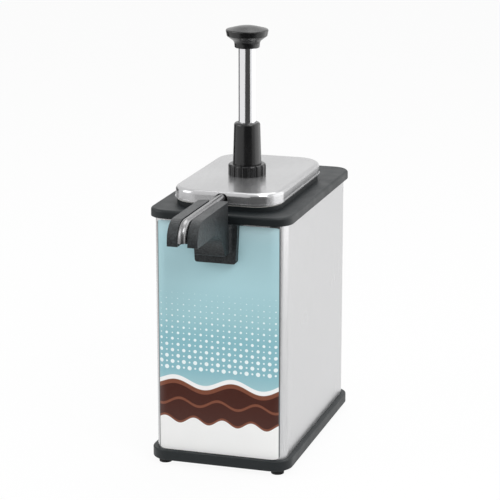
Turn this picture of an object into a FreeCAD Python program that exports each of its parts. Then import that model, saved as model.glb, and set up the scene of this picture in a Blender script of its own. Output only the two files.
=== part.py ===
import FreeCAD
import Part
import Sketcher
import math
import os
from types import SimpleNamespace

# Topping warmer with a lift-out pump, in millimetres, +Z up, its front facing -Y.
# Outlines are drawn about the centre of the steel body, and the pump's round pieces about the pump's axis.
# Placements then move every piece so that the origin lies under the middle of the whole warmer.

SIZES = {
    # steel body
    "body_width": 149.0,
    "body_depth": 258.0,
    "body_height": 274.7,
    "body_corner_radius": 16.0,
    "body_sheet": 0.8,
    "body_flange": 14.0,
    # feet and tray
    "foot_height": 6.0,
    "foot_top_radius": 7.8,
    "foot_bottom_radius": 7.0,
    "foot_inset": 9.8,
    "foot_recess_radius": 4.2,
    "foot_recess_depth": 3.4,
    "tray_overhang": 5.5,
    "tray_height": 11.3,
    "tray_floor": 3.0,
    "tray_clearance": 0.3,
    "tray_edge_radius": 1.2,
    "vent_width": 3.0,
    "vent_length": 30.0,
    "vent_pitch": 8.0,
    # printed film on the front
    "film_thickness": 0.4,
    "film_wrap": 3.5,
    "film_corner_radius": 4.0,
    "film_margin": 0.8,
    "film_top_margin": 2.4,
    # top cover
    "cover_overhang": 5.0,
    "cover_lap": 3.4,
    "cover_lip": 9.4,
    "cover_edge_radius": 3.0,
    "collar_height": 5.0,
    "collar_inset": 1.5,
    # lid
    "lid_side_margin": 14.0,
    "lid_front_margin": 13.7,
    "lid_back_margin": 44.3,
    "lid_corner_radius": 31.0,
    "lid_height": 12.9,
    "lid_sheet": 0.9,
    "lid_edge_radius": 4.5,
    "lid_hem": 0.8,
    "lid_hem_height": 1.0,
    "lid_seat": 2.5,
    "lid_notch_radius": 6.4,
    "lid_notch_corner": 4.5,
    # vessel
    "well_inset": 8.5,
    "well_corner_radius": 22.0,
    "well_bottom_radius": 10.0,
    "well_depth": 205.0,
    "vessel_sheet": 0.8,
    "vessel_flange": 1.0,
    "vessel_gasket": 1.0,
    "well_clearance": 1.0,
    # heater and sensors
    "band_thickness": 1.6,
    "band_height": 50.0,
    "band_rise": 18.0,
    "band_clearance": 0.1,
    "sensor_radius": 8.0,
    "sensor_height": 7.0,
    "sensor_cap_radius": 10.0,
    "sensor_cap_height": 2.0,
    "sensor_spacing": 34.0,
    "bracket_length": 84.0,
    "bracket_width": 14.0,
    "bracket_sheet": 1.2,
    "bracket_corner_radius": 3.5,
    "stud_radius": 2.0,
    "stud_length": 13.0,
    "stud_spacing": 72.0,
    "stud_clearance": 0.2,
    "nut_radius": 4.0,
    "nut_height": 3.2,
    # rear panel
    "panel_corner_gap": 0.5,
    "panel_margin_z": 21.0,
    "panel_lap": 5.0,
    "panel_sheet": 0.8,
    "panel_screw_inset": 2.6,
    "inlet_height": 52.0,
    "inlet_spacing": 56.0,
    # switch
    "bezel_width": 24.0,
    "bezel_height": 33.0,
    "bezel_thickness": 2.0,
    "switch_width": 21.6,
    "switch_height": 30.0,
    "switch_depth": 20.0,
    "switch_clearance": 0.2,
    "rocker_width": 16.4,
    "rocker_half_height": 12.0,
    "rocker_rise": 5.2,
    "rocker_valley": 3.2,
    "rocker_back": 6.0,
    "rocker_back_half_height": 4.0,
    "rocker_edge_radius": 1.5,
    "rocker_clearance": 0.7,
    "rocker_pivot_depth": 3.4,
    "rocker_pin_radius": 1.5,
    "rocker_pin_length": 1.4,
    "rocker_pin_clearance": 0.06,
    "tab_width": 6.3,
    "tab_thickness": 0.8,
    "tab_length": 8.0,
    "tab_spacing": 13.0,
    # cord inlet
    "gland_bore_radius": 4.0,
    "gland_neck_radius": 6.2,
    "gland_flange_radius": 9.5,
    "gland_flange": 3.0,
    "gland_length": 16.0,
    "gland_nut_radius": 9.0,
    "gland_nut_height": 4.0,
    "gland_clearance": 0.1,
    # terminal block
    "block_length": 44.0,
    "block_width": 20.0,
    "block_height": 15.0,
    "block_back": 62.0,
    "block_boss_height": 4.0,
    "block_boss_radius": 4.5,
    "block_screw_spacing": 34.0,
    "block_well_width": 6.0,
    "block_well_pitch": 9.0,
    "block_well_depth": 8.0,
    # screws
    "screw_radius": 1.5,
    "screw_head_radius": 3.0,
    "screw_head_height": 2.2,
    "screw_clearance": 0.3,
    "screw_grip": 5.0,
    "screw_tip_gap": 0.6,
    "recess_length": 3.4,
    "recess_width": 0.8,
    "recess_depth": 1.2,
    "foot_screw_head": 2.4,
    # spout housing
    "plate_top_width": 50.1,
    "plate_bottom_width": 45.7,
    "plate_height": 43.3,
    "plate_depth": 8.3,
    "plate_corner_radius": 2.8,
    "plate_blend_radius": 4.0,
    "nose_width": 33.0,
    "nose_reach": 115.0,
    "nose_rise": 25.7,
    "nose_front_radius": 20.0,
    "nose_hollow_radius": 42.0,
    "nose_gap": 5.5,
    "nose_back_radius": 5.0,
    "nose_edge_radius": 1.0,
    "chin_reach": 26.3,
    "chin_drop": 30.8,
    "chin_lean": 10.2,
    "chin_radius": 1.5,
    "groove_width": 11.0,
    "groove_clearance": 0.3,
    "groove_notch_rise": 4.0,
    "groove_notch_length": 16.0,
    "housing_wall": 3.0,
    "housing_boss_radius": 3.5,
    "housing_screw_spacing_x": 35.0,
    "housing_screw_spacing_z": 24.0,
    "lead_hole_radius": 5.0,
    "heater_block_width": 20.0,
    "heater_block_height": 8.0,
    "heater_block_length": 58.0,
    "heater_block_gap": 10.0,
    # pump
    "pump_forward": 22.7,
    "stroke": 80.0,
    "cylinder_bore_radius": 11.0,
    "cylinder_radius": 13.0,
    "cylinder_flange_radius": 19.0,
    "cylinder_flange": 3.0,
    "cylinder_neck": 7.4,
    "neck_clearance": 0.2,
    "lid_gasket": 1.0,
    "nut_outer_radius": 20.8,
    "nut_full_height": 12.4,
    "nut_edge_radius": 2.0,
    "flute_radius": 2.2,
    "flute_depth": 1.4,
    "sleeve_flange_radius": 18.0,
    "sleeve_flange": 2.4,
    "sleeve_bottom_radius": 15.9,
    "sleeve_top_radius": 14.4,
    "sleeve_height": 51.4,
    "sleeve_crown_radius": 3.0,
    "sleeve_mouth_radius": 0.8,
    "sleeve_spigot": 16.7,
    "tube_radius": 9.525,
    "tube_wall": 1.2,
    "running_clearance": 0.08,
    "seat_gap": 0.1,
    "stop_gap": 0.3,
    "stroke_reserve": 2.6,
    "knob_radius": 23.6,
    "knob_rim_height": 7.0,
    "knob_rim_bottom_radius": 22.2,
    "knob_neck_radius": 13.65,
    "knob_waist_radius": 14.3,
    "knob_neck_height": 7.0,
    "knob_flare_height": 5.9,
    "knob_crown": 4.2,
    "knob_crown_radius": 46.0,
    "knob_flat_radius": 7.0,
    "knob_edge_radius": 1.0,
    "knob_rim_edge_radius": 1.6,
    "knob_socket": 15.0,
    "piston_length": 18.0,
    "piston_spigot": 12.0,
    "seal_height": 3.4,
    "seal_depth": 1.6,
    "spring_wire_radius": 0.8,
    "spring_mean_radius": 9.3,
    "spring_closed_length": 16.0,
    # valve body
    "cage_thickness": 2.0,
    "cage_hole_radius": 2.0,
    "cage_hole_circle": 4.6,
    "valve_seal": 1.0,
    "valve_radius": 17.0,
    "valve_edge_radius": 1.8,
    "valve_socket": 14.0,
    "chamber_radius": 7.0,
    "inlet_ball_radius": 5.0,
    "inlet_bore_radius": 3.6,
    "ball_lift": 3.0,
    "inlet_web": 3.0,
    "intake_radius": 6.0,
    "intake_wall": 1.6,
    "intake_socket": 10.0,
    "intake_floor_gap": 7.0,
    "riser_forward": 27.3,
    "lobe_radius": 9.0,
    "lobe_wall": 3.0,
    "passage_radius": 2.4,
    "outlet_ball_radius": 4.5,
    "outlet_bore_radius": 3.0,
    "outlet_chamber_radius": 5.6,
    "outlet_socket": 12.0,
    "outlet_web": 2.0,
    "discharge_nut_radius": 8.0,
    "discharge_nut_height": 6.0,
    "discharge_nut_edge": 1.6,
    # discharge tube
    "discharge_radius": 4.5,
    "discharge_wall": 0.8,
    "discharge_rise": 6.3,
    "discharge_reach": 116.0,
    "discharge_tip_rise": 5.2,
    "discharge_riser_bend": 18.0,
    "discharge_tip_bend": 16.0,
    # cuts run past the faces by this much
    "overrun": 1.0,
}
VENT_COUNT = 8
FLUTE_COUNT = 16
CAGE_HOLE_COUNT = 6
SPRING_TURNS = 8
# the spring's wire has flats, which keeps its facets few
WIRE_SIDES = 8
BLOCK_WELL_COUNT = 4
ROCKER_TILT_DEGREES = 9
# levels closer than this are the same, and a feature that changes less volume than this has failed
SAME_LEVEL = 1e-4
LEAST_VOLUME = 1e-6
# the outer panel screws' distance from the middle row, as a share of half the window's height
PANEL_SCREW_SHARE = 0.8
# a ball seat's cone, as shares of its slant length
SEAT_RUN_SHARE = 0.6
SEAT_RISE_SHARE = 0.8

doc = FreeCAD.newDocument("topping_warmer")


class Size:
    """A length that carries its value and the spreadsheet expression that gives it."""

    def __init__(self, value, text):
        self.value = value
        self.text = text

    def joined(self, sign, other, value):
        return Size(value, "(%s %s %s)" % (self.text, sign, text_of(other)))

    def __add__(self, other):
        return self.joined("+", other, self.value + value_of(other))

    def __sub__(self, other):
        return self.joined("-", other, self.value - value_of(other))

    def __mul__(self, other):
        return self.joined("*", other, self.value * value_of(other))

    def __truediv__(self, other):
        return self.joined("/", other, self.value / value_of(other))

    def __neg__(self):
        return Size(-self.value, "(-1 * %s)" % self.text)


def value_of(number):
    return number.value if isinstance(number, Size) else float(number)


def text_of(number):
    return number.text if isinstance(number, Size) else repr(number)


def make_sheet():
    sheet = doc.addObject("Spreadsheet::Sheet", "Sizes")
    for row, (name, value) in enumerate(SIZES.items(), 1):
        sheet.set("A%d" % row, name)
        sheet.set("B%d" % row, repr(value))
        sheet.setAlias("B%d" % row, name)
    doc.recompute()
    return SimpleNamespace(**{name: Size(value, "Sizes." + name) for name, value in SIZES.items()})


d = make_sheet()
ZERO = Size(0.0, "0")

# Levels, from the floor up
tray_floor_top = d.foot_height + d.tray_floor
tray_top = d.foot_height + d.tray_height
body_top = tray_floor_top + d.body_height
lip_bottom = body_top - d.cover_lap
cover_top = lip_bottom + d.cover_lip
collar_top = cover_top + d.collar_height
flange_bottom = collar_top + d.vessel_gasket
lid_bottom = flange_bottom + d.vessel_flange
lid_top = lid_bottom + d.lid_height
well_bottom = lid_bottom - d.well_depth - d.vessel_sheet

# Pump levels
cylinder_flange_top = lid_top - d.lid_sheet - d.lid_gasket
neck_top = lid_top + d.cylinder_neck
sleeve_top = neck_top + d.sleeve_height
piston_top = neck_top - d.sleeve_spigot - d.stop_gap
piston_bottom = piston_top - d.piston_length
cage_top = piston_bottom - d.stroke - d.spring_closed_length
valve_floor = cage_top - d.cage_thickness
valve_top = valve_floor + d.valve_socket
inlet_ball_level = valve_floor - d.ball_lift - d.inlet_ball_radius
knob_bottom = sleeve_top + d.stroke + d.stroke_reserve

# Plan places, seen from the steel body's centre
half_width = d.body_width / 2
half_depth = d.body_depth / 2
front_face = -half_depth
film_face = front_face - d.film_thickness
lid_half_x = half_width - d.lid_side_margin
lid_half_y = half_depth - (d.lid_front_margin + d.lid_back_margin) / 2
lid_forward = (d.lid_back_margin - d.lid_front_margin) / 2
pump_y = -d.pump_forward
riser_y = pump_y - d.riser_forward
tip_y = front_face - d.discharge_reach
discharge_level = lid_bottom + d.discharge_rise
tip_level = lip_bottom + d.discharge_tip_rise
nose_front = front_face - d.nose_reach
inner_half_width = half_width - d.body_sheet
inner_half_depth = half_depth - d.body_sheet
tray_half_width = half_width + d.tray_overhang
tray_half_depth = half_depth + d.tray_overhang

# The origin lies under the middle of the whole warmer, from the tube's tip to the tray's back edge
front_reach = tip_y - d.discharge_radius
origin_y = -(front_reach + tray_half_depth) / 2
pump_axis_y = origin_y + pump_y
lid_axis_y = origin_y - lid_forward


def set_place(part, places, turn):
    """Binds a piece's placement to sizes, after an optional turn."""
    if turn is not None:
        part.Placement = FreeCAD.Placement(FreeCAD.Vector(), turn)
    for axis, size in zip("xyz", places):
        part.setExpression("Placement.Base." + axis, size.text)


def new_body(label, places=None, turn=None):
    body = doc.addObject("PartDesign::Body", label)
    body.Label = label
    set_place(body, places or (ZERO, origin_y, ZERO), turn)
    return body


def new_sketch(body, plane, level=None):
    """Makes a sketch on one of the body's origin planes, raised along the plane's normal."""
    sketch = body.newObject("Sketcher::SketchObject", body.Label + "_outline")
    support = [f for f in body.Origin.OriginFeatures if f.Role == plane + "_Plane"][0]
    sketch.AttachmentSupport = [(support, "")]
    sketch.MapMode = "FlatFace"
    if level is not None:
        sketch.setExpression("AttachmentOffset.Base.z", level.text)
    return sketch


def constrain(sketch, kind, *places, size=None):
    if size is None:
        return sketch.addConstraint(Sketcher.Constraint(kind, *places))
    index = sketch.addConstraint(Sketcher.Constraint(kind, *places, size.value))
    sketch.setExpression("Constraints[%d]" % index, size.text)
    return index


def fix_point(sketch, geometry, position, x, y):
    """Holds one point of a sketch at its sizes from the sketch's origin."""
    constrain(sketch, "DistanceX", -1, 1, geometry, position, size=x)
    constrain(sketch, "DistanceY", -1, 1, geometry, position, size=y)


def corner_arc(previous, corner, following, radius):
    """Gives an arc tangent to both sides of a corner, and whether it starts on the first side."""
    back = (previous - corner).normalize()
    ahead = (following - corner).normalize()
    half_angle = back.getAngle(ahead) / 2
    reach = radius / math.tan(half_angle)
    start = corner + back * reach
    end = corner + ahead * reach
    centre = corner + (back + ahead).normalize() * (radius / math.sin(half_angle))
    forward = back.cross(ahead).z < 0
    first, last = (start, end) if forward else (end, start)
    ring = Part.Circle(centre, FreeCAD.Vector(0, 0, 1), radius)
    arc = Part.ArcOfCircle(ring, angle_of(first - centre), angle_of(last - centre))
    return arc, start, end, forward


def angle_of(arm):
    return math.atan2(arm.y, arm.x)


def outline(sketch, corners, closed=True):
    """Draws sides through the corners (x, y) and rounds each corner that states a radius (x, y, radius)."""
    points = [FreeCAD.Vector(c[0].value, c[1].value, 0) for c in corners]
    count = len(points)
    rounded = {}
    for i, corner in enumerate(corners):
        if len(corner) == 3:
            rounded[i] = corner_arc(points[i - 1], points[i], points[(i + 1) % count], corner[2].value)
    sides = []
    for i in range(count if closed else count - 1):
        j = (i + 1) % count
        start = rounded[i][2] if i in rounded else points[i]
        end = rounded[j][1] if j in rounded else points[j]
        sides.append(sketch.addGeometry(Part.LineSegment(start, end), False))
    for i, corner in enumerate(corners):
        before = sides[i - 1] if closed or i > 0 else None
        after = sides[i] if closed or i < count - 1 else None
        if i in rounded:
            arc, _, _, forward = rounded[i]
            bend = sketch.addGeometry(arc, False)
            mark = sketch.addGeometry(Part.Point(points[i]), True)
            entry, leave = (1, 2) if forward else (2, 1)
            constrain(sketch, "Tangent", before, 2, bend, entry)
            constrain(sketch, "Tangent", bend, leave, after, 1)
            constrain(sketch, "Radius", bend, size=corner[2])
            constrain(sketch, "PointOnObject", mark, 1, before)
            constrain(sketch, "PointOnObject", mark, 1, after)
            fix_point(sketch, mark, 1, corner[0], corner[1])
            continue
        if before is not None and after is not None:
            constrain(sketch, "Coincident", before, 2, after, 1)
        if after is not None:
            fix_point(sketch, after, 1, corner[0], corner[1])
        else:
            fix_point(sketch, before, 2, corner[0], corner[1])
    return sketch


def circle(sketch, radius, x=ZERO, y=ZERO):
    centre = FreeCAD.Vector(x.value, y.value, 0)
    ring = sketch.addGeometry(Part.Circle(centre, FreeCAD.Vector(0, 0, 1), radius.value), False)
    constrain(sketch, "Radius", ring, size=radius)
    fix_point(sketch, ring, 3, x, y)
    return sketch


def rectangle(sketch, low_x, high_x, low_y, high_y, radius=None):
    corners = [(low_x, low_y), (high_x, low_y), (high_x, high_y), (low_x, high_y)]
    if radius is not None:
        corners = [corner + (radius,) for corner in corners]
    return outline(sketch, corners)


def plan(body, level, half_x, half_y, radius=None):
    """Sketches a level rectangle about the body's centre, with rounded corners if a radius is given."""
    return rectangle(new_sketch(body, "XY", level), -half_x, half_x, -half_y, half_y, radius)


def volume_of(body):
    return body.Shape.Volume if body.Tip is not None and not body.Shape.isNull() else 0.0


def feature(body, kind, sketch, **bound):
    """Adds a sketched feature, and stops if it changed nothing."""
    before = volume_of(body)
    made = body.newObject("PartDesign::" + kind, body.Label + "_" + kind)
    made.Profile = sketch
    for name, size in bound.items():
        made.setExpression(name, size.text)
    return made, before


def settle(body, made, before, cuts):
    doc.recompute()
    change = made.Shape.Volume - before
    if (change >= 0) == cuts or abs(change) < LEAST_VOLUME:
        raise RuntimeError("%s changed the volume by %.3f" % (made.Label, change))
    return made


def pad(body, sketch, length, both_ways=False, reverse=False):
    made, before = feature(body, "Pad", sketch, Length=length)
    made.SideType = "Symmetric" if both_ways else "One side"
    made.Reversed = reverse
    return settle(body, made, before, cuts=False)


def pocket(body, sketch, length, both_ways=False, reverse=False):
    made, before = feature(body, "Pocket", sketch, Length=length)
    made.SideType = "Symmetric" if both_ways else "One side"
    made.Reversed = reverse
    return settle(body, made, before, cuts=True)


def revolve(body, corners, level=None):
    """Turns an outline of (radius, height) corners once round the sketch's upright axis."""
    sketch = outline(new_sketch(body, "XZ", level), corners)
    made, before = feature(body, "Revolution", sketch)
    made.ReferenceAxis = (sketch, ["V_Axis"])
    made.Angle = 360
    return settle(body, made, before, cuts=False)


def groove(body, corners, level=None):
    """Cuts a turned outline of (radius, height) corners out of the body."""
    sketch = outline(new_sketch(body, "XZ", level), corners)
    made, before = feature(body, "Groove", sketch)
    made.ReferenceAxis = (sketch, ["V_Axis"])
    made.Angle = 360
    return settle(body, made, before, cuts=True)


def dress(body, kind, base, names, prop, size, **options):
    made = body.newObject("PartDesign::" + kind, body.Label + "_" + kind)
    made.Base = (base, names)
    made.setExpression(prop, size.text)
    for name, value in options.items():
        setattr(made, name, value)
    doc.recompute()
    return made


def edges_where(shape, test):
    return ["Edge%d" % (i + 1) for i, edge in enumerate(shape.Edges) if test(edge.BoundBox)]


def lies_at(box, level):
    return abs(box.ZMin - level.value) < SAME_LEVEL and abs(box.ZMax - level.value) < SAME_LEVEL


def level_edges(shape, level):
    """Names the edges that lie at one height."""
    return edges_where(shape, lambda box: lies_at(box, level))


def face_at(shape, level):
    """Names the flat face that lies at one height."""
    for i, face in enumerate(shape.Faces):
        if lies_at(face.BoundBox, level):
            return ["Face%d" % (i + 1)]
    raise RuntimeError("no face at %.3f" % level.value)


def pattern(body, kind, source, axis, count, **bound):
    made = body.newObject("PartDesign::" + kind, body.Label + "_" + kind)
    made.Originals = [source]
    setattr(made, "Axis" if kind == "PolarPattern" else "Direction", axis)
    made.Occurrences = count
    for name, size in bound.items():
        made.setExpression(name, size.text)
    body.Tip = made
    doc.recompute()
    return made


def primitive(kind, label, places, turn=None, **bound):
    """Makes a Part primitive whose sizes and place are bound to the sheet."""
    made = doc.addObject("Part::" + kind, label)
    for name, size in bound.items():
        made.setExpression(name, size.text)
    set_place(made, places, turn)
    return made


def group(label, members):
    """Gathers separate solids of one kind into one node."""
    made = doc.addObject("Part::Compound", label)
    made.Label = label
    made.Links = members
    set_place(made, (ZERO, origin_y, ZERO), None)
    return made


UP = FreeCAD.Rotation()
DOWN = FreeCAD.Rotation(FreeCAD.Vector(1, 0, 0), 180)
TO_BACK = FreeCAD.Rotation(FreeCAD.Vector(1, 0, 0), -90)
TO_FRONT = FreeCAD.Rotation(FreeCAD.Vector(1, 0, 0), 90)


AXES = (FreeCAD.Vector(1, 0, 0), FreeCAD.Vector(0, 1, 0), FreeCAD.Vector(0, 0, 1))


def moved(places, way, steps):
    """Moves a place by steps along a turned piece's own axes."""
    places = list(places)
    for axis, step in zip(AXES, steps):
        for i, share in enumerate(way.multVec(axis)):
            if abs(share) > SAME_LEVEL:
                places[i] = places[i] + step * round(share)
    return places


def join(kind, label, base, tool):
    """Joins two pieces, or cuts the second from the first."""
    made = doc.addObject("Part::" + kind, label)
    made.Base = base
    made.Tool = tool
    return made


def screw(label, places, way, grip, head_height, head_radius):
    """One screw: its head starts at the place and the shank runs on the given way."""
    head = primitive("Cylinder", label + "_head", places, way, Radius=head_radius, Height=head_height)
    shank = primitive("Cylinder", label + "_shank", places, way, Radius=d.screw_radius, Height=grip)
    bars = []
    for i, (length, width) in enumerate(((d.recess_length, d.recess_width),
                                         (d.recess_width, d.recess_length)), 1):
        corner = moved(places, way, (-length / 2, -width / 2, -d.overrun))
        bars.append(primitive("Box", "%s_bar_%d" % (label, i), corner, way, Length=length, Width=width,
                              Height=d.recess_depth + d.overrun))
    whole = join("Fuse", label + "_whole", head, shank)
    return join("Cut", label, whole, join("Fuse", label + "_cross", *bars))


def screws(label, all_places, way, grip, head_height=d.screw_head_height, head_radius=d.screw_head_radius):
    made = [screw("%s_%d" % (label, i), p, way, grip, head_height, head_radius)
            for i, p in enumerate(all_places, 1)]
    return group(label, made)


def four(x, y):
    """The four places at plus and minus x and y."""
    return [(a, b) for a in (-x, x) for b in (-y, y)]


# Tray, feet and steel body

foot_places = four(half_width - d.foot_inset, half_depth - d.foot_inset)
block_screw_half_gap = d.block_screw_spacing / 2
block_screw_places = [(side, d.block_back) for side in (-block_screw_half_gap, block_screw_half_gap)]
block_bottom = tray_floor_top + d.block_boss_height


def make_base_tray():
    body = new_body("base_tray")
    radius = d.body_corner_radius + d.tray_overhang
    slab = pad(body, plan(body, d.foot_height, tray_half_width, tray_half_depth, radius), d.tray_height)
    rims = level_edges(slab.Shape, tray_top) + level_edges(slab.Shape, d.foot_height)
    dress(body, "Fillet", slab, rims, "Radius", d.tray_edge_radius)
    well = plan(body, tray_top, half_width + d.tray_clearance, half_depth + d.tray_clearance,
                d.body_corner_radius + d.tray_clearance)
    pocket(body, well, d.tray_height - d.tray_floor)
    sketch = new_sketch(body, "XY", tray_floor_top)
    for x, y in block_screw_places:
        circle(sketch, d.block_boss_radius, x, y)
    pad(body, sketch, d.block_boss_height)
    sketch = new_sketch(body, "XY", block_bottom)
    for x, y in block_screw_places:
        circle(sketch, d.screw_radius, x, y)
    pocket(body, sketch, d.block_boss_height + d.tray_floor / 2)
    sketch = new_sketch(body, "XY", tray_floor_top)
    for x, y in foot_places:
        circle(sketch, d.screw_radius + d.screw_clearance, x, y)
    pocket(body, sketch, d.tray_floor + d.overrun)
    sketch = new_sketch(body, "XY", tray_floor_top)
    first = -d.vent_pitch * (VENT_COUNT - 1) / 2
    half_slot = d.vent_width / 2
    rectangle(sketch, -d.vent_length / 2, d.vent_length / 2, first - half_slot, first + half_slot)
    slot = pocket(body, sketch, d.tray_floor + d.overrun)
    pattern(body, "LinearPattern", slot, (sketch, ["V_Axis"]), VENT_COUNT,
            Length=d.vent_pitch * (VENT_COUNT - 1))


def make_feet():
    feet = []
    for i, (x, y) in enumerate(foot_places, 1):
        name = "foot_%d" % i
        cone = primitive("Cone", name + "_cone", (x, y, ZERO), Radius1=d.foot_bottom_radius,
                         Radius2=d.foot_top_radius, Height=d.foot_height)
        recess = primitive("Cylinder", name + "_recess", (x, y, -d.overrun), Radius=d.foot_recess_radius,
                           Height=d.foot_recess_depth + d.overrun)
        hole = primitive("Cylinder", name + "_hole", (x, y, ZERO), Height=d.foot_height + d.overrun,
                         Radius=d.screw_radius + d.screw_clearance)
        feet.append(join("Cut", name, cone, join("Fuse", name + "_cutter", recess, hole)))
    group("rubber_feet", feet)
    head_bottom = d.foot_recess_depth - d.foot_screw_head
    grip = tray_floor_top + d.body_sheet + d.screw_grip - head_bottom
    screws("foot_screws", [(x, y, head_bottom) for x, y in foot_places], UP, grip, d.foot_screw_head)


# The rear window and what sits on its panel

panel_half_width = half_width - d.body_corner_radius - d.panel_corner_gap
window_half_width = panel_half_width - d.panel_lap
window_low = tray_floor_top + d.panel_margin_z
window_high = body_top - d.panel_margin_z
panel_low = window_low - d.panel_lap
panel_high = window_high + d.panel_lap
panel_screw_x = window_half_width + d.panel_screw_inset
panel_screw_gap = (window_high - window_low) / 2 * PANEL_SCREW_SHARE
panel_screw_middle = (window_high + window_low) / 2
panel_screw_places = [(x, panel_screw_middle + panel_screw_gap * row)
                      for x in (-panel_screw_x, panel_screw_x) for row in (-1, 0, 1)]
switch_x = d.inlet_spacing / 2
inlet_level = tray_floor_top + d.inlet_height
panel_face = inner_half_depth

# The spout housing's fixing places on the front
housing_screw_middle = lip_bottom - d.plate_height / 2
housing_screw_places = [(x, housing_screw_middle + z) for x, z in
                        four(d.housing_screw_spacing_x / 2, d.housing_screw_spacing_z / 2)]
cover_screw_x = inner_half_width - d.body_flange / 2
cover_screw_places = four(cover_screw_x, half_depth / 2)


def front_holes(body, level, depth, clearance):
    """Cuts the holes for the housing's screws and its heater's leads through a front wall."""
    sketch = new_sketch(body, "XZ", level)
    for x, z in housing_screw_places:
        circle(sketch, d.screw_radius + clearance, x, z)
    circle(sketch, d.lead_hole_radius, ZERO, housing_screw_middle)
    pocket(body, sketch, depth)


def make_body_shroud():
    body = new_body("body_shroud")
    pad(body, plan(body, tray_floor_top, half_width, half_depth, d.body_corner_radius), d.body_height)
    inner_radius = d.body_corner_radius - d.body_sheet
    inside = plan(body, body_top - d.body_sheet, inner_half_width, inner_half_depth, inner_radius)
    opening_x = inner_half_width - d.body_flange
    opening_y = inner_half_depth - d.body_flange
    mouth = plan(body, body_top, opening_x, opening_y)
    pocket(body, mouth, d.body_height + d.overrun)
    pocket(body, inside, d.body_height - d.body_sheet * 2)
    sketch = new_sketch(body, "XY", body_top)
    for x, y in cover_screw_places:
        circle(sketch, d.screw_radius + d.screw_clearance, x, y)
    pocket(body, sketch, d.body_sheet + d.overrun)
    sketch = new_sketch(body, "XY", tray_floor_top + d.body_sheet)
    for x, y in foot_places:
        circle(sketch, d.screw_radius, x, y)
    pocket(body, sketch, d.body_sheet + d.overrun)
    front_holes(body, half_depth, d.body_sheet + d.overrun, d.screw_clearance)
    sketch = new_sketch(body, "XZ", -inner_half_depth + d.overrun)
    rectangle(sketch, -window_half_width, window_half_width, window_low, window_high)
    for x, z in panel_screw_places:
        circle(sketch, d.screw_radius + d.screw_clearance, x, z)
    pocket(body, sketch, d.body_sheet + d.overrun * 2)


def make_rear_panel():
    body = new_body("rear_panel")
    sketch = new_sketch(body, "XZ", -panel_face)
    rectangle(sketch, -panel_half_width, panel_half_width, panel_low, panel_high)
    pad(body, sketch, d.panel_sheet)
    sketch = new_sketch(body, "XZ", -panel_face + d.panel_sheet)
    for x, z in panel_screw_places:
        circle(sketch, d.screw_radius, x, z)
    circle(sketch, d.gland_neck_radius + d.gland_clearance, -switch_x, inlet_level)
    half_x = d.switch_width / 2 + d.switch_clearance
    half_z = d.switch_height / 2 + d.switch_clearance
    rectangle(sketch, switch_x - half_x, switch_x + half_x, inlet_level - half_z, inlet_level + half_z)
    pocket(body, sketch, d.panel_sheet + d.overrun)
    places = [(x, half_depth + d.screw_head_height, z) for x, z in panel_screw_places]
    grip = d.screw_head_height + d.body_sheet + d.panel_sheet + d.screw_grip
    screws("rear_panel_screws", places, TO_FRONT, grip)


body_reach = half_depth + d.tray_overhang + d.overrun


def make_front_graphic():
    body = new_body("front_graphic")
    low = tray_top + d.film_margin
    height = lip_bottom - d.film_top_margin - low
    radius = d.body_corner_radius + d.film_thickness
    outer = plan(body, low, half_width + d.film_thickness, half_depth + d.film_thickness, radius)
    pad(body, outer, height)
    top = low + height + d.overrun
    behind = rectangle(new_sketch(body, "XY", top), -body_reach, body_reach,
                       front_face + d.film_wrap, body_reach)
    pocket(body, behind, height + d.overrun * 2)
    inner = plan(body, top, half_width, half_depth, d.body_corner_radius)
    pocket(body, inner, height + d.overrun * 2)
    fore = film_face - d.overrun
    back = front_face + d.film_wrap
    sketch = rectangle(new_sketch(body, "YZ"), fore - d.overrun, back + d.overrun, low - d.overrun, top)
    outline(sketch, [(fore, low), (back, low, d.film_corner_radius),
                     (back, top - d.overrun, d.film_corner_radius), (fore, top - d.overrun)])
    pocket(body, sketch, body_reach * 2, both_ways=True)
    front_holes(body, half_depth + d.film_thickness, d.film_thickness + d.overrun, d.screw_clearance)


# Top cover, vessel and heaters

rim_half_x = lid_half_x - d.collar_inset
rim_half_y = lid_half_y - d.collar_inset
rim_radius = d.lid_corner_radius - d.collar_inset
well_half_x = lid_half_x - d.well_inset
well_half_y = lid_half_y - d.well_inset
mouth_half_x = well_half_x + d.well_clearance
mouth_half_y = well_half_y + d.well_clearance
mouth_radius = d.well_corner_radius + d.well_clearance


def make_top_cover():
    body = new_body("top_cover")
    radius = d.body_corner_radius + d.cover_overhang
    slab = pad(body, plan(body, lip_bottom, half_width + d.cover_overhang, half_depth + d.cover_overhang,
                          radius), d.cover_lip)
    dress(body, "Fillet", slab, level_edges(slab.Shape, cover_top), "Radius", d.cover_edge_radius)
    collar = rectangle(new_sketch(body, "XY", cover_top - d.overrun), -rim_half_x, rim_half_x,
                       -lid_forward - rim_half_y, rim_half_y - lid_forward, rim_radius)
    pad(body, collar, d.collar_height + d.overrun)
    mouth = rectangle(new_sketch(body, "XY", collar_top), -mouth_half_x, mouth_half_x,
                      -lid_forward - mouth_half_y, mouth_half_y - lid_forward, mouth_radius)
    pocket(body, mouth, d.collar_height + d.cover_lip + d.overrun)
    lap = plan(body, lip_bottom, half_width + d.tray_clearance, half_depth + d.tray_clearance,
               d.body_corner_radius + d.tray_clearance)
    pocket(body, lap, d.cover_lap, reverse=True)
    sketch = new_sketch(body, "XY", body_top)
    for x, y in cover_screw_places:
        circle(sketch, d.screw_radius, x, y)
    pocket(body, sketch, d.screw_grip, reverse=True)
    head_bottom = body_top - d.body_sheet - d.screw_head_height
    grip = d.screw_head_height + d.body_sheet + d.screw_grip - d.screw_tip_gap
    screws("cover_screws", [(x, y, head_bottom) for x, y in cover_screw_places], UP, grip)


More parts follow.
